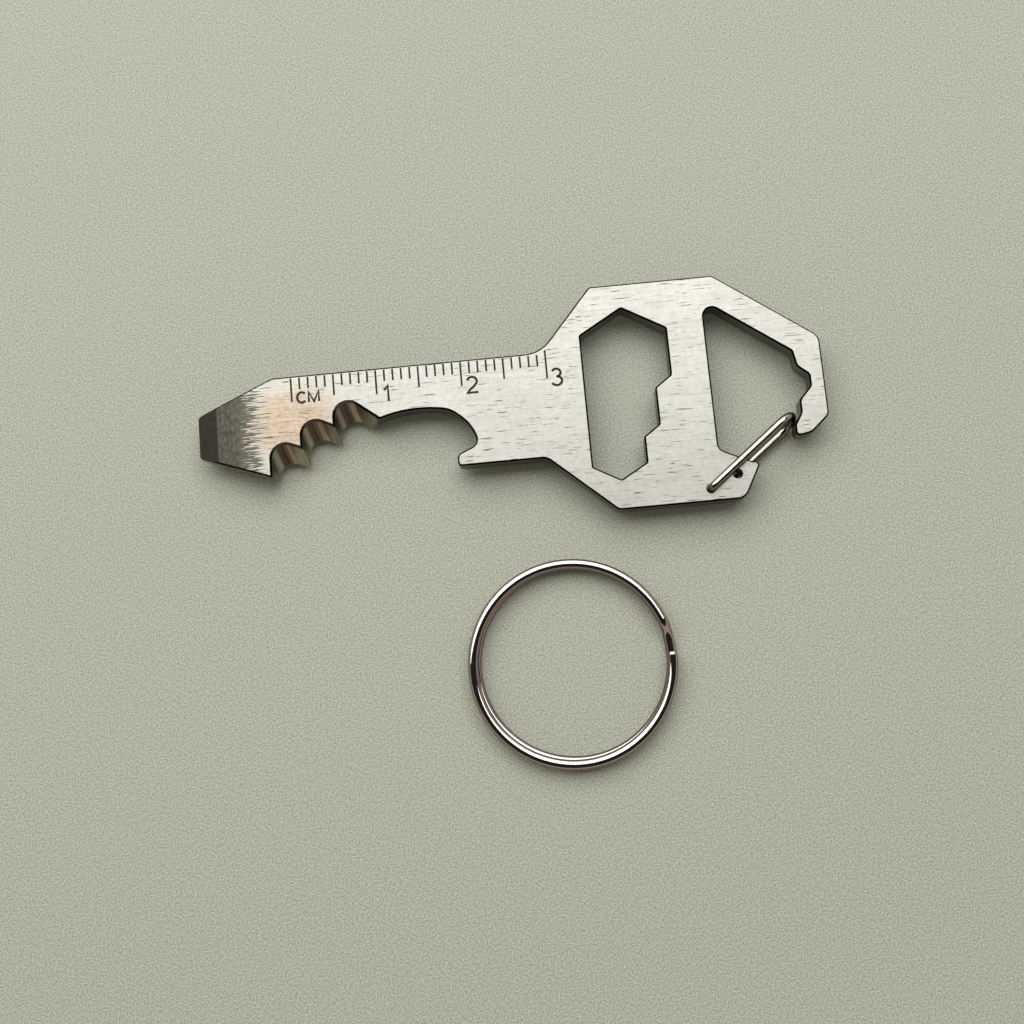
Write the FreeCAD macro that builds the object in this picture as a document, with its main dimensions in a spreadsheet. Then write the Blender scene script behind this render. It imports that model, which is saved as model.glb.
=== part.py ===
"""Keychain bottle opener: a stamped key-shaped tool plate, its wire gate and a loose split ring.

Millimetres and degrees. The row frame has +X along the key from tip to head, +Z up from the surface
that the object lies on, and its origin under the middle of the whole object's box.

The plate and the gate are drawn in the plate's own frame: x from the screwdriver tip towards the head,
y across the key from the shank's centre line, z from the plate's middle plane. The split ring is drawn
about its own centre, with z from the surface that it lies on.
"""

import FreeCAD, Part

import math
import os

import Sketcher
from FreeCAD import Placement, Rotation, Vector

DIMENSIONS = {
    # Stainless plate
    "plate_thickness": 2.5,
    "plate_length": 73.4,
    "edge_break": 0.2,
    "corner_small": 0.5,
    "corner_medium": 1.0,
    "corner_large": 1.5,
    # Shank and screwdriver tip
    "shank_half": 6.3,
    "tip_half": 2.5,
    "tip_upper_run": 9.1,
    "tip_lower_run": 10.45,
    "land_length": 2.25,
    "land_drop": 0.25,
    "grind_length": 6.95,
    "end_drop": 0.75,
    # Serrations: scallops ground through the plate on a slant
    "scallop_round": 1.68,
    "scallop_slant_x": 0.55,
    "scallop_slant_y": 2.1,
    "scallop_depth": 9.0,
    "scallop_1_x": 10.13,
    "scallop_1_y": -3.4,
    "scallop_1_ramp": 22.0,
    "scallop_1_run": 2.4,
    "scallop_2_x": 13.85,
    "scallop_2_y": -0.95,
    "scallop_2_ramp": 26.0,
    "scallop_2_run": 2.6,
    "scallop_3_x": 17.8,
    "scallop_3_y": 0.93,
    "scallop_3_ramp": 38.0,
    "scallop_3_run": 4.2,
    # Bottle-opener bay
    "bay_left_x": 20.5,
    "bay_left_y": -0.13,
    "bay_crown_x": 24.7,
    "bay_crown_y": 1.28,
    "bay_crown_round": 15.0,
    "bay_shoulder_x": 29.6,
    "bay_shoulder_y": 0.54,
    "bay_shoulder_round": 3.0,
    "bay_side_x": 31.86,
    "bay_side_y": 1.28,
    "bay_side_round": 5.0,
    "bay_end_x": 32.79,
    "bay_end_y": 3.81,
    "bay_end_round": 1.0,
    "lip_x": 30.15,
    "lip_y": 4.9,
    "lip_round": 0.8,
    # Head outline
    "neck_upper": 40.78,
    "neck_lower": 40.44,
    "neck_round": 4.0,
    "head_upper": 13.7,
    "head_lower": 13.15,
    "head_upper_start": 47.23,
    "head_lower_start": 48.14,
    "crown_end": 61.8,
    "shoulder_y": 5.2,
    # Horn on the near side of the gate
    "horn_base": 62.74,
    "horn_tip_x": 65.05,
    "horn_tip_y": 8.9,
    "horn_inner_x": 63.95,
    # Carabiner eye and the nose that the gate closes on
    "eye_left": 60.3,
    "eye_top": 10.74,
    "eye_bottom": 7.13,
    "arm_inner_x": 69.99,
    "arm_inner_y": 3.65,
    "shelf_x": 70.32,
    "shelf_y": 1.8,
    "notch_x": 71.65,
    "notch_half": 0.68,
    "bay_x": 70.2,
    "bay_high": 2.22,
    "bay_low": 3.75,
    "nose_x": 69.33,
    "nose_face_y": 5.12,
    "nose_tip_y": 6.55,
    "nose_under_x": 71.25,
    "nose_under_y": 6.15,
    "nose_corner_y": 4.27,
    # Nested hexagon opening: wrenches of ten and eight millimetres and a quarter of an inch
    "hex_left": 45.7,
    "hex_apex_x": 50.75,
    "hex_apex_y": 10.7,
    "hex_ten_x": 55.71,
    "hex_ten_upper": 7.82,
    "hex_ten_lower": 2.2,
    "hex_eight_x": 53.78,
    "hex_eight_upper": 0.85,
    "hex_eight_lower": 3.52,
    "hex_six_x": 51.9,
    "hex_six_upper": 4.85,
    "hex_six_lower": 7.87,
    "hex_foot_x": 48.83,
    "hex_foot_y": 9.62,
    "hex_round": 0.25,
    # Wire gate and its two holes
    "wire_radius": 0.5,
    "wire_gap": 0.1,
    "front_hole_x": 58.88,
    "front_hole_y": -11.65,
    "front_hole_radius": 0.57,
    "rear_hole_x": 62.12,
    "rear_hole_y": -10.2,
    "rear_hole_radius": 0.6,
    "gate_heading": 38.0,
    "gate_reach": 12.9,
    "gate_bend": 0.65,
    "gate_pin_depth": 2.1,
    # Split ring: two turns of flattened wire and the step between them
    "ring_outer_radius": 12.0,
    "ring_wire_width": 1.2,
    "ring_wire_height": 1.08,
    "ring_coil_gap": 0.04,
    "ring_step_start": 8.0,
    "ring_step_angle": 13.0,
    "ring_lower_trim": 0.17,
    "ring_lower_x": 0.16,
    "ring_lower_y": 0.18,
    "ring_end_angle": 1.4,
    "ring_end_share": 0.8,
    "ring_x": 41.22,
    "ring_y": -30.0,
}

SCALLOPS = ("scallop_1", "scallop_2", "scallop_3")
STEP_SECTIONS = 9
TOUCH = 1e-4
UP = Vector(0, 0, 1)


# ---------------------------------------------------------------- sheet


def make_sheet(doc):
    """Puts the driving dimensions into a spreadsheet, with an alias for each."""
    sheet = doc.addObject("Spreadsheet::Sheet", "Sheet")
    for row, (alias, number) in enumerate(DIMENSIONS.items(), start=1):
        sheet.set(f"A{row}", alias)
        sheet.set(f"B{row}", str(number))
        sheet.setAlias(f"B{row}", alias)
    doc.recompute()
    return sheet


def on_sheet(expression):
    """Turns the dimension names in an expression into references to the sheet."""
    words = expression.replace("(", "( ").replace(")", " )").replace("-", "- ").split()
    return " ".join("Sheet." + word if word in DIMENSIONS else word for word in words)


def value(doc, expression):
    """The number that an expression on the sheet comes to."""
    return float(doc.Sheet.evalExpression(on_sheet(expression)))


def bind(target, prop, expression):
    """Binds one property of an object to an expression on the sheet."""
    target.setExpression(prop, on_sheet(expression))


# ---------------------------------------------------------------- sketches


def origin_plane(body, role):
    """One of a body's own origin planes."""
    return next(item for item in body.Origin.OriginFeatures if item.Role == role)


def new_sketch(body, name, role):
    """An empty sketch on one of its own body's origin planes."""
    sketch = body.newObject("Sketcher::SketchObject", name)
    sketch.AttachmentSupport = [(origin_plane(body, role), "")]
    sketch.MapMode = "FlatFace"
    return sketch


def constrain(sketch, expression, *constraint):
    """Adds a constraint whose size is bound to the sheet."""
    start = value(sketch.Document, expression)
    number = sketch.addConstraint(Sketcher.Constraint(*constraint, start))
    bind(sketch, f"Constraints[{number}]", expression)


def pin_point(sketch, geometry, point, x, y):
    """Fixes a sketch point at two expressions on the sheet, or on an axis where one is 0."""
    for kind, axis, expression in (("DistanceX", -2, x), ("DistanceY", -1, y)):
        if expression == "0":
            sketch.addConstraint(Sketcher.Constraint("PointOnObject", geometry, point, axis))
        else:
            constrain(sketch, expression, kind, -1, 1, geometry, point)


def angle_about(centre, point):
    """The direction of a point from a centre, in radians."""
    return math.atan2(point.y - centre.y, point.x - centre.x)


def corner_arc(before, corner, after, radius):
    """The arc that rounds a corner: its two ends in order, its centre, and whether it turns left."""
    back = (before - corner).normalize()
    ahead = (after - corner).normalize()
    half_angle = back.getAngle(ahead) / 2
    run = radius / math.tan(half_angle)
    centre = corner + (back + ahead).normalize() * (radius / math.sin(half_angle))
    return corner + back * run, corner + ahead * run, centre, back.cross(ahead).z < 0


def round_corner(sketch, sides, point, arc, corner):
    """Adds a corner's arc, tangent to both sides, and holds the sharp corner that they point at."""
    start, end, centre, turns_left = arc
    first, last = (start, end) if turns_left else (end, start)
    circle = Part.Circle(centre, UP, (start - centre).Length)
    span = Part.ArcOfCircle(circle, angle_about(centre, first), angle_about(centre, last))
    curve = sketch.addGeometry(span)
    sharp = sketch.addGeometry(Part.Point(point), True)
    curve_entry, curve_leave = (1, 2) if turns_left else (2, 1)
    sketch.addConstraint(Sketcher.Constraint("Tangent", sides[0], 2, curve, curve_entry))
    sketch.addConstraint(Sketcher.Constraint("Tangent", sides[1], 1, curve, curve_leave))
    sketch.addConstraint(Sketcher.Constraint("PointOnObject", sharp, 1, sides[0]))
    sketch.addConstraint(Sketcher.Constraint("PointOnObject", sharp, 1, sides[1]))
    constrain(sketch, corner[2], "Radius", curve)
    pin_point(sketch, sharp, 1, corner[0], corner[1])


def outline(body, name, role, corners):
    """A closed sketch through corners, each (x, y) or (x, y, rounding), all bound to the sheet."""
    doc = body.Document
    sketch = new_sketch(body, name, role)
    points = [Vector(value(doc, corner[0]), value(doc, corner[1]), 0) for corner in corners]
    after = points[1:] + points[:1]
    arcs = {
        i: corner_arc(points[i - 1], points[i], after[i], value(doc, corner[2]))
        for i, corner in enumerate(corners)
        if len(corner) == 3
    }
    for i in range(len(points)):
        following = (i + 1) % len(points)
        start = arcs[i][1] if i in arcs else points[i]
        end = arcs[following][0] if following in arcs else points[following]
        sketch.addGeometry(Part.LineSegment(start, end))
    for i, corner in enumerate(corners):
        sides = ((i - 1) % len(points), i)
        if i in arcs:
            round_corner(sketch, sides, points[i], arcs[i], corner)
        else:
            sketch.addConstraint(Sketcher.Constraint("Coincident", sides[0], 2, sides[1], 1))
            pin_point(sketch, i, 1, corner[0], corner[1])
    return sketch


def add_hole(sketch, x, y, radius):
    """Adds one hole's circle to a sketch."""
    doc = sketch.Document
    centre = Vector(value(doc, x), value(doc, y), 0)
    circle = sketch.addGeometry(Part.Circle(centre, UP, value(doc, radius)))
    constrain(sketch, radius, "Radius", circle)
    pin_point(sketch, circle, 3, x, y)


# ---------------------------------------------------------------- plate


def lower_corners():
    """The shank's lower edge with the bottle-opener bay, and the head down to the horn."""
    return [
        ("0", "-tip_half", "corner_small"),
        ("tip_lower_run", "-shank_half"),
        ("bay_left_x", "-shank_half"),
        ("bay_left_x", "bay_left_y"),
        ("bay_crown_x", "bay_crown_y", "bay_crown_round"),
        ("bay_shoulder_x", "bay_shoulder_y", "bay_shoulder_round"),
        ("bay_side_x", "-bay_side_y", "bay_side_round"),
        ("bay_end_x", "-bay_end_y", "bay_end_round"),
        ("lip_x", "-lip_y", "lip_round"),
        ("lip_x", "-shank_half", "corner_small"),
        ("neck_lower", "-shank_half", "corner_large"),
        ("head_lower_start", "-head_lower", "corner_medium"),
        ("horn_base", "-head_lower", "corner_large"),
        ("horn_tip_x", "-horn_tip_y", "corner_small"),
        ("horn_inner_x", "-horn_tip_y", "corner_small"),
    ]


def eye_corners():
    """The carabiner eye, and its far wall with the notch that ends at the nose."""
    return [
        ("eye_left", "-eye_bottom", "corner_medium"),
        ("eye_left", "eye_top", "corner_medium"),
        ("arm_inner_x", "arm_inner_y", "corner_small"),
        ("shelf_x", "shelf_y", "corner_medium"),
        ("notch_x", "notch_half", "corner_small"),
        ("notch_x", "-notch_half", "corner_small"),
        ("bay_x", "-bay_high", "corner_medium"),
        ("bay_x", "-bay_low", "corner_medium"),
        ("nose_x", "-nose_face_y", "corner_medium"),
        ("nose_x", "-nose_tip_y", "corner_small"),
    ]


def upper_corners():
    """From under the nose round the head, and back along the shank's upper edge to the tip."""
    return [
        ("nose_under_x", "-nose_under_y", "corner_large"),
        ("plate_length", "-nose_corner_y", "corner_medium"),
        ("plate_length", "shoulder_y", "corner_large"),
        ("crown_end", "head_upper", "corner_medium"),
        ("head_upper_start", "head_upper", "corner_small"),
        ("neck_upper", "shank_half", "neck_round"),
        ("tip_upper_run", "shank_half"),
        ("0", "tip_half", "corner_small"),
    ]


def hexagon_corners():
    """Three hexagon wrenches nested in one opening, stepping in down its right-hand side."""
    corners = [
        ("hex_left", "hex_ten_upper"),
        ("hex_left", "-hex_six_lower"),
        ("hex_foot_x", "-hex_foot_y"),
        ("hex_six_x", "-hex_six_lower"),
        ("hex_six_x", "-hex_six_upper"),
        ("hex_eight_x", "-hex_eight_lower"),
        ("hex_eight_x", "hex_eight_upper"),
        ("hex_ten_x", "hex_ten_lower"),
        ("hex_ten_x", "hex_ten_upper"),
        ("hex_apex_x", "hex_apex_y"),
    ]
    return [corner + ("hex_round",) for corner in corners]


def scallop_corners(name):
    """A scallop's cutter path: a round end, a ramp out to the next tooth, and open below."""
    left = f"{name}_x - scallop_round"
    right = f"{name}_x + {name}_run"
    top = f"{name}_y + scallop_round / tan((90 - {name}_ramp) * 0.5 deg)"
    ramp_end = f"{top} - ({name}_run + scallop_round) * tan({name}_ramp * 1 deg)"
    bottom = f"{name}_y - scallop_depth"
    return [(left, top, "scallop_round"), (left, bottom), (right, bottom), (right, ramp_end)]


def grind_corners():
    """What is ground off one side of the screwdriver tip, in side view: a long grind and a land."""
    return [
        ("0", "plate_thickness"),
        ("0", "plate_thickness / 2 - end_drop"),
        ("land_length", "plate_thickness / 2 - land_drop"),
        ("grind_length", "plate_thickness / 2"),
        ("grind_length", "plate_thickness"),
    ]


def cut_through(body, sketch, name, length="3 * plate_thickness"):
    """A pocket that runs both ways from its sketch."""
    pocket = body.newObject("PartDesign::Pocket", name)
    pocket.Profile = sketch
    pocket.SideType = "Symmetric"
    bind(pocket, "Length", length)
    return pocket


def cut_scallop(body, name):
    """A scallop cut down from the upper face on the serrations' slant."""
    doc = body.Document
    sketch = outline(body, f"{name}_path", "XY_Plane", scallop_corners(name))
    bind(sketch, "AttachmentOffset.Base.z", "plate_thickness / 2")
    pocket = body.newObject("PartDesign::Pocket", name)
    pocket.Profile = sketch
    pocket.UseCustomVector = True
    pocket.Direction = Vector(
        value(doc, "scallop_slant_x"),
        value(doc, "-scallop_slant_y"),
        value(doc, "-plate_thickness"),
    )
    pocket.AlongSketchNormal = True
    bind(pocket, "Length", "1.2 * plate_thickness")


def face_edges(shape, height):
    """The names of the edges that lie wholly at one height."""
    return [
        f"Edge{number}"
        for number, edge in enumerate(shape.Edges, start=1)
        if abs(edge.BoundBox.ZMin - height) < TOUCH and abs(edge.BoundBox.ZMax - height) < TOUCH
    ]


def make_plate(doc):
    """The key-shaped plate: one stamping with its openings, grinds, serrations and gate holes."""
    body = doc.addObject("PartDesign::Body", "key_plate")
    blank = body.newObject("PartDesign::Pad", "blank")
    blank.Profile = outline(
        body, "plate_outline", "XY_Plane", lower_corners() + eye_corners() + upper_corners()
    )
    blank.SideType = "Symmetric"
    bind(blank, "Length", "plate_thickness")

    cut_through(body, outline(body, "hexagons", "XY_Plane", hexagon_corners()), "wrench_opening")

    grind = cut_through(
        body, outline(body, "grind_profile", "XZ_Plane", grind_corners()), "tip_grind", "4 * shank_half"
    )
    mirror = body.newObject("PartDesign::Mirrored", "tip_grind_below")
    mirror.Originals = [grind]
    mirror.MirrorPlane = (origin_plane(body, "XY_Plane"), [""])
    body.Tip = mirror

    for name in SCALLOPS:
        cut_scallop(body, name)
    doc.recompute()

    ground = body.Tip
    face = value(doc, "plate_thickness / 2")
    edges = face_edges(ground.Shape, face) + face_edges(ground.Shape, -face)
    broken = body.newObject("PartDesign::Chamfer", "broken_edges")
    broken.Base = (ground, edges)
    bind(broken, "Size", "edge_break")

    holes = new_sketch(body, "gate_holes_layout", "XY_Plane")
    add_hole(holes, "front_hole_x", "front_hole_y", "front_hole_radius")
    add_hole(holes, "rear_hole_x", "rear_hole_y", "rear_hole_radius")
    cut_through(body, holes, "gate_holes")
    place_in_row(body)
    return body


def place_in_row(item):
    """Moves a piece drawn in the plate's frame into the row frame."""
    bind(item, "Placement.Base.x", "-plate_length / 2")
    bind(item, "Placement.Base.y", "(ring_outer_radius - ring_y - head_upper) / 2")
    bind(item, "Placement.Base.z", "plate_thickness / 2 + wire_gap + 2 * wire_radius")


# ---------------------------------------------------------------- gate


def wire_run(doc, name, start, end):
    """A straight stretch of gate wire."""
    rod = doc.addObject("Part::Cylinder", name)
    bind(rod, "Radius", "wire_radius")
    rod.Height = (end - start).Length
    rod.Placement = Placement(start, Rotation(UP, end - start))
    return rod


def wire_bend(doc, name, centre, start, heading, angle):
    """A bend of gate wire about a centre, from a start point that heads one way."""
    out = Vector(start - centre).normalize()
    along = Vector(heading).normalize()
    bend = doc.addObject("Part::Torus", name)
    bend.Radius1 = (start - centre).Length
    bind(bend, "Radius2", "wire_radius")
    bend.Angle3 = angle
    bend.Placement = Placement(centre, Rotation(out, along, out.cross(along), "XYZ"))
    return bend


def make_gate(doc):
    """The spring-wire gate: a pin in the front hole, a leg over the plate, a U-bend round the eye's
    open side and a leg back under the plate to the rear hole."""
    heading = math.radians(value(doc, "gate_heading"))
    along = Vector(math.cos(heading), math.sin(heading), 0)
    level = value(doc, "plate_thickness / 2 + wire_gap + wire_radius")
    bend = value(doc, "gate_bend")
    reach = value(doc, "gate_reach")
    pin_low = value(doc, "plate_thickness / 2 - gate_pin_depth")

    pivot = Vector(value(doc, "front_hole_x"), value(doc, "front_hole_y"), level)
    to_rear = Vector(value(doc, "rear_hole_x - front_hole_x"), value(doc, "rear_hole_y - front_hole_y"), 0)
    rear_along = to_rear.dot(along)
    drop = to_rear - along * rear_along - UP * (2 * level)

    pin_top = pivot - UP * bend
    upper_start = pivot + along * bend
    upper_end = pivot + along * (reach - drop.Length / 2)
    lower_start = upper_end + drop
    lower_end = pivot + along * rear_along + drop
    pieces = [
        wire_run(doc, "gate_pin", Vector(pivot.x, pivot.y, pin_low), pin_top),
        wire_bend(doc, "gate_elbow", pin_top + along * bend, pin_top, UP, 90),
        wire_run(doc, "gate_upper_leg", upper_start, upper_end),
        wire_bend(doc, "gate_u_bend", upper_end + drop * 0.5, upper_end, along, 180),
        wire_run(doc, "gate_lower_leg", lower_start, lower_end),
    ]
    gate = doc.addObject("Part::MultiFuse", "wire_gate")
    gate.Shapes = pieces
    gate.Refine = True
    place_in_row(gate)
    return gate


# ---------------------------------------------------------------- split ring


def turn_at(doc, height):
    """The centre and radius of the wire's middle line at a height: the lower turn is smaller and askew."""
    low = value(doc, "ring_wire_height / 2")
    drop = 1 - (height - low) / value(doc, "ring_wire_height + ring_coil_gap")
    centre = Vector(value(doc, "ring_lower_x"), value(doc, "ring_lower_y"), 0) * drop
    radius = value(doc, "ring_outer_radius - ring_wire_width / 2") - value(doc, "ring_lower_trim") * drop
    return centre, radius


def wire_section(doc, name, angle, height, share="1"):
    """The ring wire's flattened round section, standing across the ring at one angle and height."""
    radial = Vector(math.cos(angle), math.sin(angle), 0)
    centre, radius = turn_at(doc, height)
    section = doc.addObject("Part::Ellipse", name)
    bind(section, "MajorRadius", f"{share} * ring_wire_width / 2")
    bind(section, "MinorRadius", f"{share} * ring_wire_height / 2")
    place = centre + radial * radius + UP * height
    section.Placement = Placement(place, Rotation(radial, UP, radial.cross(UP), "XYZ"))
    return section


def wire_loft(doc, name, sections):
    """A solid through wire sections."""
    solid = doc.addObject("Part::Loft", name)
    solid.Sections = sections
    solid.Solid = True
    return solid


def coil(doc, name, start, height, sweep):
    """One turn of the ring, on round from the end of the step."""
    turn = doc.addObject("Part::Revolution", name)
    turn.Source = wire_section(doc, f"{name}_section", start, height)
    turn.Base = turn_at(doc, height)[0]
    turn.Axis = UP
    turn.Solid = True
    bind(turn, "Angle", sweep)
    return turn


def wire_end(doc, name, angle, height, turn):
    """The wire's rubbed-down end, tapering on past a cut."""
    tip = angle + turn * math.radians(value(doc, "ring_end_angle"))
    sections = [
        wire_section(doc, f"{name}_root", angle, height),
        wire_section(doc, f"{name}_tip", tip, height, "ring_end_share"),
    ]
    return wire_loft(doc, name, sections)


def make_ring(doc):
    """The split ring: a lower turn, a step up over its end, and an upper turn that ends before the step."""
    start = math.radians(value(doc, "ring_step_start"))
    step = math.radians(value(doc, "ring_step_angle"))
    low = value(doc, "ring_wire_height / 2")
    rise = value(doc, "ring_wire_height + ring_coil_gap")

    sections = []
    for number in range(STEP_SECTIONS):
        part = number / (STEP_SECTIONS - 1)
        height = low + rise * (3 * part**2 - 2 * part**3)
        sections.append(wire_section(doc, f"step_section_{number}", start + step * part, height))
    turns = [
        coil(doc, "ring_lower_turn", start + step, low, "360 - ring_step_angle"),
        coil(doc, "ring_upper_turn", start + step, low + rise, "360 - ring_step_angle - ring_step_start"),
    ]
    ends = [
        wire_end(doc, "ring_lower_end", start + step, low, -1),
        wire_end(doc, "ring_upper_end", 0, low + rise, 1),
    ]
    ring = doc.addObject("Part::MultiFuse", "split_ring")
    ring.Shapes = turns + ends + [wire_loft(doc, "ring_step", sections)]
    bind(ring, "Placement.Base.x", "ring_x - plate_length / 2")
    bind(ring, "Placement.Base.y", "ring_y + (ring_outer_radius - ring_y - head_upper) / 2")
    return ring


# ---------------------------------------------------------------- whole object


def check(doc, pieces):
    """Stops if any object failed to build or any piece isn't one valid solid."""
    for item in doc.Objects:
        if "Invalid" in item.State or "Error" in item.State:
            raise RuntimeError(f"{item.Name} failed: {item.State}")
    for piece in pieces:
        shape = piece.Shape
        if shape.isNull() or not shape.isValid() or len(shape.Solids) != 1:
            raise RuntimeError(f"{piece.Label} isn't one valid solid")
        print(f"{piece.Label}: {shape.Volume:.1f} mm3, {shape.BoundBox}")


def main():
    doc = FreeCAD.newDocument("keychain_bottle_opener")
    make_sheet(doc)
    pieces = [make_plate(doc), make_gate(doc), make_ring(doc)]
    doc.recompute()
    check(doc, pieces)
    os.makedirs("parts", exist_ok=True)
    for piece in pieces:
        piece.Shape.exportStep(f"parts/{piece.Label}.step")


main()
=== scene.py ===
"""Looks for the keychain bottle opener: brushed plate, ruler marks, polished gate wire and split ring.

Everything is in metres, in the row frame. MM turns millimetres into metres.
"""

import math

import bmesh
import bpy
from mathutils import Euler, Matrix, Vector


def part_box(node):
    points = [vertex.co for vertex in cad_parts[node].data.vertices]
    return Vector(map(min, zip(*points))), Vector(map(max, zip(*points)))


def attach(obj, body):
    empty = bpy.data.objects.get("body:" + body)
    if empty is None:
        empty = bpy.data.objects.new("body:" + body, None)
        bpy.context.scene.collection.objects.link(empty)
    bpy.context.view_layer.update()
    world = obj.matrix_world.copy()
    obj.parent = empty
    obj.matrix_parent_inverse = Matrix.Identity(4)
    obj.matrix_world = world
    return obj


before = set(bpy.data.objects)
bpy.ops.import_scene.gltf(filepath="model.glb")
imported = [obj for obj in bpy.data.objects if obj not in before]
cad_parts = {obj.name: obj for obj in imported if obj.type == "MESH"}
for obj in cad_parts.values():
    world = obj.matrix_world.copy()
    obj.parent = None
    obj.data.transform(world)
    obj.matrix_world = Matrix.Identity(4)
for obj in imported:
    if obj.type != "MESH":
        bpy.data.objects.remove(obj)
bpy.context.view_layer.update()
scene = bpy.context.scene

MM = 0.001
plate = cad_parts["key_plate"]
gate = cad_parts["wire_gate"]
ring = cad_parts["split_ring"]
plate_low, plate_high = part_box("key_plate")
TOP = plate_high.z
TIP_X = plate_low.x
SHANK_Y = plate_high.y - 13.7 * MM


# ---------------------------------------------------------------- node helpers


def new_material(name):
    """An empty node material with a Principled shader, as the shader and a Graph of its tree."""
    material = bpy.data.materials.new(name)
    material.use_nodes = True
    tree = material.node_tree
    tree.nodes.clear()
    shader = tree.nodes.new("ShaderNodeBsdfPrincipled")
    output = tree.nodes.new("ShaderNodeOutputMaterial")
    tree.links.new(shader.outputs["BSDF"], output.inputs["Surface"])
    return material, shader, Graph(tree)


class Graph:
    """Short ways to add nodes to one tree. A source is another node's output, a number or a colour."""

    def __init__(self, tree):
        self.tree = tree

    def put(self, socket, source):
        if isinstance(source, bpy.types.NodeSocket):
            self.tree.links.new(source, socket)
        elif socket.type == "RGBA":
            socket.default_value = (*source, 1.0)
        else:
            socket.default_value = source

    def feed(self, item, name, source):
        self.put(item.inputs[name], source)

    def node(self, kind, **inputs):
        item = self.tree.nodes.new(kind)
        for name, source in inputs.items():
            self.feed(item, name, source)
        return item

    def math(self, operation, a, b=0.0):
        item = self.tree.nodes.new("ShaderNodeMath")
        item.operation = operation
        self.put(item.inputs[0], a)
        self.put(item.inputs[1], b)
        return item.outputs[0]

    def object_point(self):
        return self.tree.nodes.new("ShaderNodeTexCoord").outputs["Object"]

    def normal(self):
        return self.tree.nodes.new("ShaderNodeNewGeometry").outputs["Normal"]

    def parts(self, vector):
        item = self.node("ShaderNodeSeparateXYZ", Vector=vector)
        return item.outputs[0], item.outputs[1], item.outputs[2]

    def noise(self, vector, scales, detail, roughness):
        """Noise with its own scale along each axis, in cells per unit of the vector."""
        scaled = self.node("ShaderNodeMapping", Vector=vector, Scale=scales).outputs[0]
        item = self.node("ShaderNodeTexNoise", Vector=scaled, Scale=1.0, Detail=detail, Roughness=roughness)
        return item.outputs["Fac"]

    def ramp(self, source, *stops):
        item = self.node("ShaderNodeValToRGB", Fac=source)
        elements = item.color_ramp.elements
        while len(elements) < len(stops):
            elements.new(0.5)
        for element, (place, color) in zip(elements, stops):
            element.position = place
            element.color = (*color, 1.0)
        return item.outputs["Color"]

    def span(self, source, start, end):
        """0 before start, 1 past end, smooth between. Start may be the larger of the two."""
        item = self.node("ShaderNodeMapRange", Value=source)
        item.interpolation_type = "SMOOTHSTEP"
        item.inputs["From Min"].default_value = start
        item.inputs["From Max"].default_value = end
        return item.outputs["Result"]

    def mix(self, factor, a, b):
        """Colour a where the factor is 0, and colour b where it is 1."""
        item = self.tree.nodes.new("ShaderNodeMix")
        item.data_type = "RGBA"
        for index, source in ((0, factor), (6, a), (7, b)):
            self.put(item.inputs[index], source)
        return item.outputs[2]

    def bump(self, height, strength, distance):
        return self.node("ShaderNodeBump", Height=height, Strength=strength, Distance=distance).outputs[0]


def gray(level):
    return (level, level, level)


def use_material(item, material):
    """Gives an object one material in its slots."""
    item.data.materials.clear()
    item.data.materials.append(material)


# ---------------------------------------------------------------- plate

# Noise scales along the key, across it and through it, in cells per metre
BRUSH_SCALES = (150.0, 5200.0, 5200.0)
STREAK_SCALES = (480.0, 7000.0, 7000.0)
GRAIN_SCALES = (2600.0, 1500.0, 1500.0)
CLOUD_SCALES = (110.0, 190.0, 190.0)

# Stretches where one finish turns into another, in mm from the tip, or across from the shank's middle
GRIND_SCRATCHES = (9.3, 4.3)
GRIND_SOLID = (5.8, 4.8)
GRIND_EVEN = (3.4, 7.4)
# Where the land's painted shade starts
LAND_START = (2.40, 2.20)
SERRATED_ALONG = (21.2, 20.8)
SERRATED_ACROSS = (3.6, 3.2)
# Middle and reach of the painted warm reflection on the face
WARM_CENTRE = (11.4, 0.6)
WARM_REACH = (7.6, 6.0)

# How upright the surface's normal is where the wall starts, and on either side of the edge chamfer that gets
# a painted dark line
WALL_LEAN = (0.85, 0.75)
EDGE_UPPER_LEAN = (0.95, 0.85)
EDGE_LOWER_LEAN = (0.60, 0.68)

# The grind's scratches, and the stripes of the serrations' painted reflection bands with their slant through
# the thickness
SCRATCH_STRENGTH = 3.0
SCRATCH_EDGE = (0.35, 0.60)
STRIPE_SCALES = (3.1, 3.1, 3.1)
STRIPE_STRENGTH = 0.7
SERRATION_SLANT = 0.55 / 2.5

# How far each fine pattern changes the face's colour
BRIGHT_SHARE = 0.40
BRUSHED_SHARE = 0.16
WARM_BRUSHED_SHARE = 0.30
BRUSH_DEPTH = 0.01 * MM

FACE_TONES = ((0.50, 0.50, 0.46), (0.545, 0.545, 0.50))
# Tint of the painted warm reflection
WARM_REFLECTION_TINT = (0.52, 0.385, 0.265)
BRIGHT_GRAIN = (0.74, 0.73, 0.67)
DULL_STREAK = (0.27, 0.235, 0.19)
# Ground tip and land: the grind's finish is real, and their near-black tones are painted shade
GROUND_FINISH_SHADE_TONES = ((0.024, 0.023, 0.017), (0.11, 0.108, 0.082))
EVEN_GROUND_SHADE = (0.11, 0.105, 0.082)
LAND_SHADE_TONES = ((0.017, 0.015, 0.012), (0.031, 0.027, 0.021))
# The walls' steel, darkened with painted shade
WALL_SHADE_TONES = ((0.10, 0.095, 0.085), (0.17, 0.16, 0.145))
# Near-black painted shade on the edge chamfer
PAINTED_EDGE_SHADE = (0.006, 0.005, 0.004)

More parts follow.
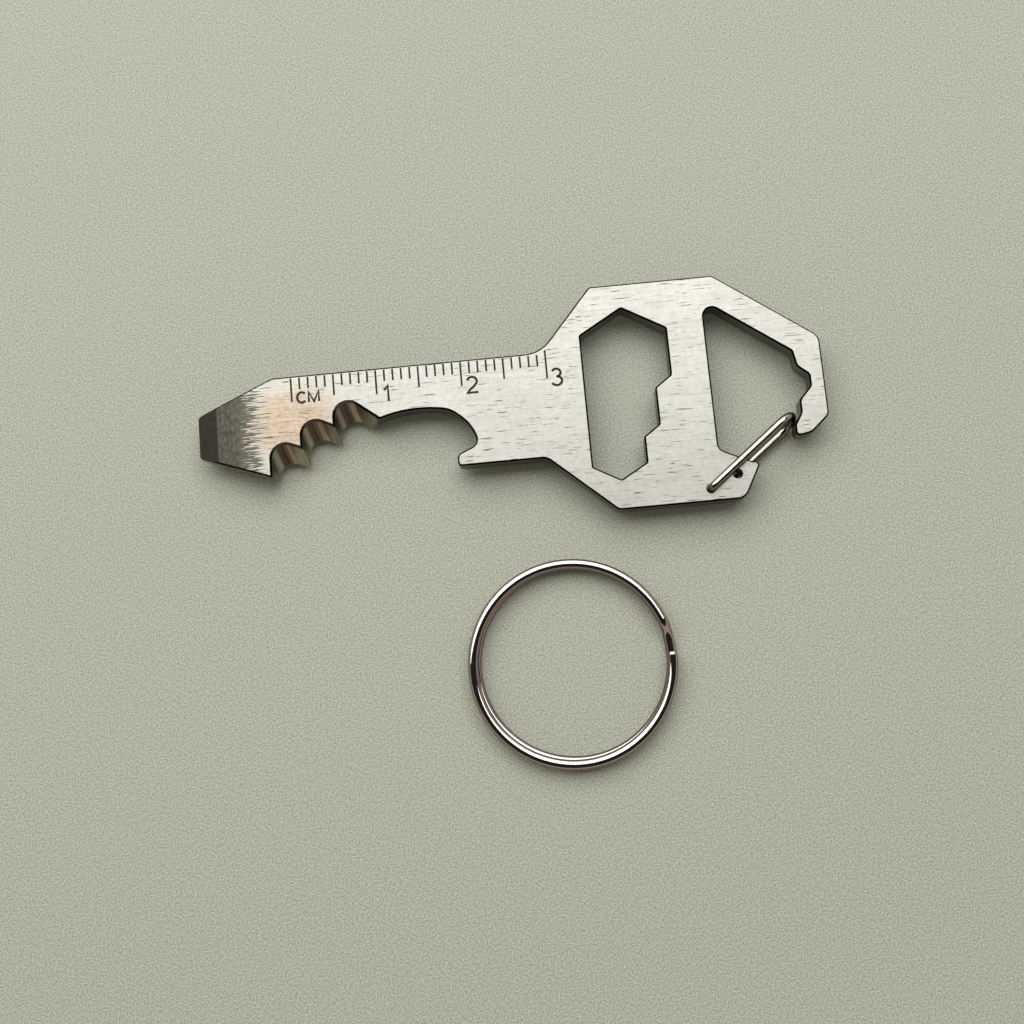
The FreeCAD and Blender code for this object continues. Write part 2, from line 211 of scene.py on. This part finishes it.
# Bands of painted reflection on the serrations' walls, light and dark by which way the wall faces along the
# key
PAINTED_REFLECTION_BANDS = (
    (0.10, (0.34, 0.32, 0.26)),
    (0.33, (0.28, 0.25, 0.19)),
    (0.37, (0.60, 0.54, 0.42)),
    (0.40, (0.24, 0.16, 0.10)),
    (0.46, (0.95, 0.68, 0.45)),
    (0.50, (0.52, 0.37, 0.24)),
    (0.56, (0.95, 0.76, 0.54)),
    (0.61, (0.42, 0.31, 0.21)),
    (0.66, (0.52, 0.46, 0.36)),
    (0.72, (0.20, 0.17, 0.13)),
    (0.80, (0.46, 0.44, 0.37)),
    (0.90, (0.30, 0.29, 0.24)),
)


def millimetres(graph, place, origin):
    return graph.math("DIVIDE", graph.math("SUBTRACT", place, origin), MM)


def warm_reflection_patch(graph, along, across):
    """1 at the middle of the painted warm reflection on the face, falling smoothly to 0 at its reach."""
    u = graph.math("DIVIDE", graph.math("SUBTRACT", along, WARM_CENTRE[0]), WARM_REACH[0])
    v = graph.math("DIVIDE", graph.math("SUBTRACT", across, WARM_CENTRE[1]), WARM_REACH[1])
    squares = graph.math("ADD", graph.math("POWER", u, 2.0), graph.math("POWER", v, 2.0))
    return graph.span(graph.math("SQRT", squares), 1.0, 0.25)


def ground_cover(graph, along, streak):
    """1 on the ground tip, breaking up into scratches where the long grind runs out."""
    scratch = graph.math("MULTIPLY", graph.math("SUBTRACT", streak, 0.5), SCRATCH_STRENGTH)
    cover = graph.math("ADD", graph.span(along, *GRIND_SCRATCHES), scratch)
    return graph.math("MAXIMUM", graph.span(cover, *SCRATCH_EDGE), graph.span(along, *GRIND_SOLID))


def painted_reflection_wall(graph, along, z, nx):
    """Painted reflection bands on the serrations' walls, with stripes that follow their slant."""
    depth = graph.math("DIVIDE", graph.math("SUBTRACT", TOP, z), MM)
    lines = graph.tree.nodes.new("ShaderNodeCombineXYZ")
    slant = graph.math("MULTIPLY", depth, SERRATION_SLANT)
    graph.feed(lines, "X", graph.math("SUBTRACT", along, slant))
    stripe = graph.noise(lines.outputs[0], STRIPE_SCALES, 2.0, 0.6)
    waver = graph.math("MULTIPLY", graph.math("SUBTRACT", stripe, 0.5), STRIPE_STRENGTH)
    facing = graph.math("ADD", nx, waver)
    return graph.ramp(graph.math("MULTIPLY", graph.math("ADD", facing, 1.0), 0.5), *PAINTED_REFLECTION_BANDS)


def plate_material():
    """Brushed stainless: brushing along the key with a painted warm reflection, a ground tip darkened with
    painted shade, walls darkened with painted shade, painted reflection bands on the serration walls and a
    painted dark line on the edge chamfer.
    """
    material, shader, graph = new_material("plate_steel")
    point = graph.object_point()
    x, y, z = graph.parts(point)
    along = millimetres(graph, x, TIP_X)
    across = millimetres(graph, y, SHANK_Y)
    nx, _, nz = graph.parts(graph.normal())
    upright = graph.math("ABSOLUTE", nz)
    wall = graph.span(upright, *WALL_LEAN)
    painted_edge_mask = graph.math(
        "MULTIPLY",
        graph.span(upright, *EDGE_UPPER_LEAN),
        graph.span(upright, *EDGE_LOWER_LEAN),
    )
    brush = graph.noise(point, BRUSH_SCALES, 5.0, 0.65)
    streak = graph.noise(point, STREAK_SCALES, 2.0, 0.5)
    grain = graph.noise(point, GRAIN_SCALES, 4.0, 0.65)
    cloud = graph.noise(point, CLOUD_SCALES, 3.0, 0.5)

    # Brushed face, with a painted warm reflection
    warm = warm_reflection_patch(graph, along, across)
    face = graph.ramp(cloud, (0.3, FACE_TONES[0]), (0.7, FACE_TONES[1]))
    face = graph.mix(warm, face, WARM_REFLECTION_TINT)
    bright = graph.math("MULTIPLY", graph.span(grain, 0.30, 0.75), BRIGHT_SHARE)
    face = graph.mix(bright, face, BRIGHT_GRAIN)
    brushed = graph.math("ADD", graph.math("MULTIPLY", warm, WARM_BRUSHED_SHARE), BRUSHED_SHARE)
    brushed = graph.math("MULTIPLY", graph.span(brush, 0.36, 0.74), brushed)
    face = graph.mix(brushed, face, DULL_STREAK)

    # Ground tip: the grind's scratched finish is real, and its near-black tone is painted shade. The land at
    # its very end gets an even darker painted shade
    ground = ground_cover(graph, along, streak)
    ground_color = graph.ramp(grain, (0.25, GROUND_FINISH_SHADE_TONES[0]), (0.75, GROUND_FINISH_SHADE_TONES[1]))
    ground_color = graph.mix(graph.span(along, *GRIND_EVEN), ground_color, EVEN_GROUND_SHADE)
    land = graph.span(along, *LAND_START)
    land_color = graph.ramp(grain, (0.25, LAND_SHADE_TONES[0]), (0.75, LAND_SHADE_TONES[1]))
    face = graph.mix(ground, face, ground_color)
    face = graph.mix(land, face, land_color)

    # Walls darkened with painted shade, with painted reflection bands on the serrations, and a painted dark
    # line on the edge chamfer round both faces
    side = graph.ramp(cloud, (0.3, WALL_SHADE_TONES[0]), (0.7, WALL_SHADE_TONES[1]))
    serrated = graph.math(
        "MULTIPLY",
        graph.span(along, *SERRATED_ALONG),
        graph.span(across, *SERRATED_ACROSS),
    )
    side = graph.mix(serrated, side, painted_reflection_wall(graph, along, z, nx))
    color = graph.mix(wall, face, side)
    # The edge chamfer is painted near-black as shade
    color = graph.mix(painted_edge_mask, color, PAINTED_EDGE_SHADE)
    graph.feed(shader, "Base Color", color)

    rough = graph.ramp(brush, (0.2, gray(0.32)), (0.8, gray(0.44)))
    for part, level in ((ground, 0.26), (land, 0.20), (wall, 0.30), (painted_edge_mask, 0.50)):
        rough = graph.mix(part, rough, gray(level))
    graph.feed(shader, "Roughness", rough)
    shader.inputs["Metallic"].default_value = 1.0
    graph.feed(shader, "Normal", graph.bump(brush, 0.35, BRUSH_DEPTH))
    return material


# ---------------------------------------------------------------- wire, marking and floor

WIRE_MARK_SCALES = (900.0, 900.0, 900.0)
# How upright the normal is where the painted shade on the wires' flanks begins
FLANK_LEAN = (0.84, 0.62)
GATE_TONES = ((0.52, 0.50, 0.44), (0.66, 0.64, 0.56))
GATE_FLANK_SHADE = (0.16, 0.145, 0.11)
GATE_ROUGHNESS = 0.12
RING_TONES = ((0.70, 0.67, 0.64), (0.80, 0.77, 0.74))
RING_FLANK_SHADE = (0.25, 0.19, 0.155)
RING_ROUGHNESS = 0.06

MARKING_SCALES = (3000.0, 3000.0, 3000.0)
MARKING_TONES = ((0.003, 0.003, 0.002), (0.020, 0.016, 0.012))
SPECKLE_SCALES = (5600.0, 5600.0, 5600.0)
FLOOR_TONES = ((0.36, 0.372, 0.318), (0.74, 0.768, 0.655))


def wire_material(name, tones, flank_shade, roughness):
    """Bright plated wire with faint drawing marks, and painted shade darkening its flanks."""
    material, shader, graph = new_material(name)
    marks = graph.noise(graph.object_point(), WIRE_MARK_SCALES, 5.0, 0.6)
    upright = graph.math("ABSOLUTE", graph.parts(graph.normal())[2])
    crown = graph.ramp(marks, (0.3, tones[0]), (0.7, tones[1]))
    # The flanks get painted shade
    graph.feed(shader, "Base Color", graph.mix(graph.span(upright, *FLANK_LEAN), crown, flank_shade))
    shader.inputs["Metallic"].default_value = 1.0
    rough = graph.ramp(marks, (0.3, gray(roughness * 0.7)), (0.75, gray(roughness * 1.4)))
    graph.feed(shader, "Roughness", rough)
    return material


def mark_material():
    """Dark laser marking on the plate."""
    material, shader, graph = new_material("ruler_marking")
    grain = graph.noise(graph.object_point(), MARKING_SCALES, 3.0, 0.6)
    graph.feed(shader, "Base Color", graph.ramp(grain, (0.3, MARKING_TONES[0]), (0.8, MARKING_TONES[1])))
    shader.inputs["Metallic"].default_value = 0.0
    shader.inputs["Roughness"].default_value = 0.6
    return material


def floor_material():
    """Pale matte table top with a fine speckle."""
    material, shader, graph = new_material("table_top")
    speckle = graph.noise(graph.object_point(), SPECKLE_SCALES, 1.0, 0.5)
    graph.feed(shader, "Base Color", graph.ramp(speckle, (0.3, FLOOR_TONES[0]), (0.7, FLOOR_TONES[1])))
    shader.inputs["Roughness"].default_value = 0.7
    return material


# ---------------------------------------------------------------- ruler

MARK_DEPTH = 0.01 * MM
MARK_WIDTH = 0.22 * MM
GLYPH_WIDTH = 0.28 * MM
SHARPEST_MITRE = 1.9
RULER_ZERO = TIP_X + 11.32 * MM
RULER_TOP = SHANK_Y + 6.05 * MM
MARK_STEP = 1.002 * MM
LAST_MARK = 30
LAST_MARK_EXTRA = 0.5
TENTH_MARK, FIFTH_MARK, PLAIN_MARK = 2.9, 2.5, 1.4

# Gap between letters, as a share of their height
LETTER_GAP = 0.22

# Name, lettering, left edge from the tip, foot from the shank's middle, and height, in mm
RULER_WORDS = (
    ("ruler_unit", "CM", 11.95, 3.0, 1.24),
    ("ruler_number_1", "1", 22.18, 2.22, 1.88),
    ("ruler_number_2", "2", 31.96, 2.28, 1.88),
    ("ruler_number_3", "3", 41.86, 2.2, 1.98),
)


def add_marking(name, mesh, material):
    """Turns a finished bmesh into a piece of marking that rides on the plate."""
    data = bpy.data.meshes.new(name)
    mesh.to_mesh(data)
    mesh.free()
    item = bpy.data.objects.new(name, data)
    scene.collection.objects.link(item)
    use_material(item, material)
    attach(item, "plate")


def ruler_ticks(material):
    """Thirty-one marks a millimetre apart, longer at every fifth and tenth, and longest at the last."""
    mesh = bmesh.new()
    for number in range(LAST_MARK + 1):
        length = TENTH_MARK if number % 10 == 0 else FIFTH_MARK if number % 5 == 0 else PLAIN_MARK
        top = RULER_TOP
        if number == LAST_MARK:
            top += LAST_MARK_EXTRA * MM
            length += LAST_MARK_EXTRA
        middle = Vector((RULER_ZERO + number * MARK_STEP, top - length * MM / 2, TOP))
        size = Vector((MARK_WIDTH, length * MM, 2 * MARK_DEPTH))
        bmesh.ops.create_cube(mesh, size=1.0, matrix=Matrix.LocRotScale(middle, None, size))
    add_marking("ruler_ticks", mesh, material)


def arc(centre, radius, start, end, steps=14):
    """Points along an ellipse's arc, from one angle to another in degrees."""
    turns = [math.radians(start + (end - start) * step / steps) for step in range(steps + 1)]
    return [(centre[0] + radius[0] * math.cos(t), centre[1] + radius[1] * math.sin(t)) for t in turns]


def glyph_strokes(glyph):
    """One character's strokes on a cell one unit high, with its foot at the origin, and the cell's width."""
    if glyph == "1":
        return [[(0.0, 0.72), (0.12, 0.80), (0.27, 0.98), (0.27, 0.0)]], 0.33
    if glyph == "2":
        bowl = arc((0.33, 0.72), (0.30, 0.28), 165, -25)
        return [bowl + [(0.46, 0.42), (0.16, 0.18), (0.02, 0.0), (0.68, 0.0)]], 0.70
    if glyph == "3":
        upper = arc((0.31, 0.76), (0.26, 0.24), 155, -90)
        lower = arc((0.31, 0.27), (0.31, 0.27), 90, -155)
        return [upper, lower], 0.64
    if glyph == "C":
        return [arc((0.45, 0.5), (0.43, 0.5), 42, 318, 24)], 0.90
    return [[(0.0, 0.0), (0.0, 1.0), (0.48, 0.0), (0.96, 1.0), (0.96, 0.0)]], 1.0


def add_stroke(mesh, points):
    """A flat ribbon along a line of points, with mitred bends, a little proud of the plate."""
    steps = [(after - before).normalized() for before, after in zip(points, points[1:])]
    sections = []
    for place, point in enumerate(points):
        entry = steps[max(place - 1, 0)]
        leave = steps[min(place, len(steps) - 1)]
        bend = entry + leave
        across = Vector((-bend.y, bend.x)).normalized()
        widen = min(1.0 / max(across.dot(Vector((-entry.y, entry.x))), 0.1), SHARPEST_MITRE)
        left = point + across * widen * GLYPH_WIDTH / 2
        right = point - across * widen * GLYPH_WIDTH / 2
        low, high = TOP - MARK_DEPTH, TOP + MARK_DEPTH
        corners = ((left, low), (right, low), (right, high), (left, high))
        sections.append([mesh.verts.new((side.x, side.y, height)) for side, height in corners])
    for section, following in zip(sections, sections[1:]):
        for corner in range(4):
            beside = (corner + 1) % 4
            mesh.faces.new((section[corner], section[beside], following[beside], following[corner]))
    mesh.faces.new(sections[0])
    mesh.faces.new(sections[-1])


def ruler_word(name, letters, left, foot, height, material):
    """One word or number on the ruler, letter by letter from its left edge."""
    mesh = bmesh.new()
    start = left
    for letter in letters:
        strokes, width = glyph_strokes(letter)
        corner = Vector((TIP_X + start * MM, SHANK_Y + foot * MM))
        for stroke in strokes:
            add_stroke(mesh, [corner + Vector(point) * height * MM for point in stroke])
        start += (width + LETTER_GAP) * height
    bmesh.ops.recalc_face_normals(mesh, faces=mesh.faces)
    add_marking(name, mesh, material)


def make_ruler():
    marking = mark_material()
    ruler_ticks(marking)
    for word in RULER_WORDS:
        ruler_word(*word, marking)


# ---------------------------------------------------------------- stage

FLOOR_SIZE = 8.0
WINDOW_PLACE = (-0.2, 0.71, 0.7275)
WINDOW_SIZE = (1.65, 1.215)
WINDOW_POWER = 13.5
WINDOW_COLOR = (1.0, 0.99, 0.96)

# The camera's place in mm from the tip, the shank's middle and the plate's face, and its turn in degrees
CAMERA_PLACE = (38.6, -34.72, 141.93)
CAMERA_TURN = (8.868, 1.896, -5.071)
CAMERA_LENS = 43.945

# The world's colours by how high a direction points, from 0 level to 1 straight up. The pale side is
# where a direction points past the ruler's edge, by how far it points along y.
ROOM = ((0.0, (0.44, 0.40, 0.33)), (0.6, (0.20, 0.185, 0.155)), (1.0, (0.10, 0.095, 0.08)))
GLOW = ((0.00, (0.36, 0.29, 0.245)), (0.40, (0.34, 0.28, 0.24)), (0.52, (0.016, 0.015, 0.014)))
PALE_SIDE_START = (0.45, 0.75)
PALE_SIDE = (
    (0.12, (0.05, 0.045, 0.04)),
    (0.20, (0.80, 0.79, 0.75)),
    (0.46, (0.95, 0.94, 0.90)),
    (0.52, (0.016, 0.015, 0.014)),
)


def make_floor():
    bpy.ops.mesh.primitive_plane_add(size=FLOOR_SIZE, location=(0.0, 0.0, 0.0))
    floor = bpy.context.object
    floor.name = "floor"
    use_material(floor, floor_material())


def make_window():
    """A soft rectangular light that faces straight down, off to the ruler's side of the plate."""
    data = bpy.data.lights.new("window", "AREA")
    data.shape = "RECTANGLE"
    data.size, data.size_y = WINDOW_SIZE
    data.energy = WINDOW_POWER
    data.color = WINDOW_COLOR
    light = bpy.data.objects.new("window", data)
    light.location = WINDOW_PLACE
    scene.collection.objects.link(light)


def make_world():
    """Warm light from every side for the table. Reflections see a low glow with one pale side, dark above."""
    world = bpy.data.worlds.new("studio")
    scene.world = world
    world.use_nodes = True
    tree = world.node_tree
    graph = Graph(tree)
    direction = tree.nodes.new("ShaderNodeTexCoord").outputs["Generated"]
    _, y, z = graph.parts(direction)
    glow = graph.mix(graph.span(y, *PALE_SIDE_START), graph.ramp(z, *GLOW), graph.ramp(z, *PALE_SIDE))
    reflected = tree.nodes.new("ShaderNodeLightPath").outputs["Is Glossy Ray"]
    background = tree.nodes["Background"]
    graph.feed(background, "Color", graph.mix(reflected, graph.ramp(z, *ROOM), glow))
    background.inputs["Strength"].default_value = 1.0


def make_camera():
    """A phone held almost straight above, a little towards the ring's side."""
    data = bpy.data.cameras.new("camera")
    data.sensor_width = 36.0
    data.lens = CAMERA_LENS
    data.clip_start = 0.01
    along, across, above = CAMERA_PLACE
    camera = bpy.data.objects.new("camera", data)
    camera.location = (TIP_X + along * MM, SHANK_Y + across * MM, TOP + above * MM)
    camera.rotation_euler = Euler([math.radians(angle) for angle in CAMERA_TURN])
    scene.collection.objects.link(camera)
    scene.camera = camera


# ---------------------------------------------------------------- whole scene

scene.view_settings.view_transform = "Standard"
use_material(plate, plate_material())
use_material(gate, wire_material("gate_wire", GATE_TONES, GATE_FLANK_SHADE, GATE_ROUGHNESS))
use_material(ring, wire_material("ring_plating", RING_TONES, RING_FLANK_SHADE, RING_ROUGHNESS))
make_ruler()
make_floor()
make_window()
make_world()
make_camera()
